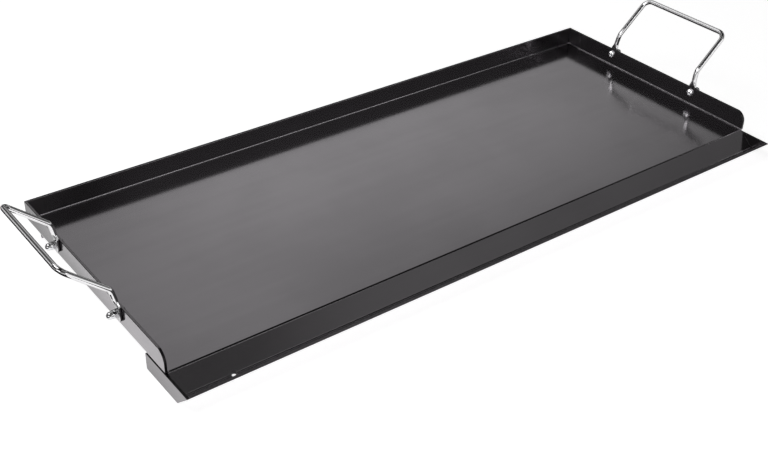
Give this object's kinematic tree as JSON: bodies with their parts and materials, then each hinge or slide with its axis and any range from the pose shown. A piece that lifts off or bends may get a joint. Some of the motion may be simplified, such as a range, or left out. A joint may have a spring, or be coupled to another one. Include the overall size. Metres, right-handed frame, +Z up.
{
  "type": "camp griddle plate",
  "caption": "Folded steel griddle plate with three upstand walls, a V-shaped front grease groove, end-plate and rail supports, and bolted wire handles at both ends.",
  "frame": {"origin": "on the surface the griddle stands on, under the centre of its footprint", "axes": "+X along the length, from the drain-hole end to the other end; +Y from the grease groove towards the back wall; +Z up"},
  "size_m": [0.922, 0.3526, 0.107],
  "materials": {
    "black_steel": "black semi-gloss rolled steel, lightly oiled",
    "chromed_wire": "bright plated, polished",
    "zinc_fasteners": "bright zinc plated"
  },
  "bodies": {
    "root": {"griddle_body": "black_steel", "end_plate_left": "black_steel", "end_plate_right": "black_steel", "rear_rail": "black_steel", "handle_left": "chromed_wire", "handle_right": "chromed_wire", "screws_left": "zinc_fasteners", "screws_right": "zinc_fasteners", "lock_washers_left": "zinc_fasteners", "lock_washers_right": "zinc_fasteners", "cap_nuts_left": "zinc_fasteners", "cap_nuts_right": "zinc_fasteners"}
  },
  "joints": []
}
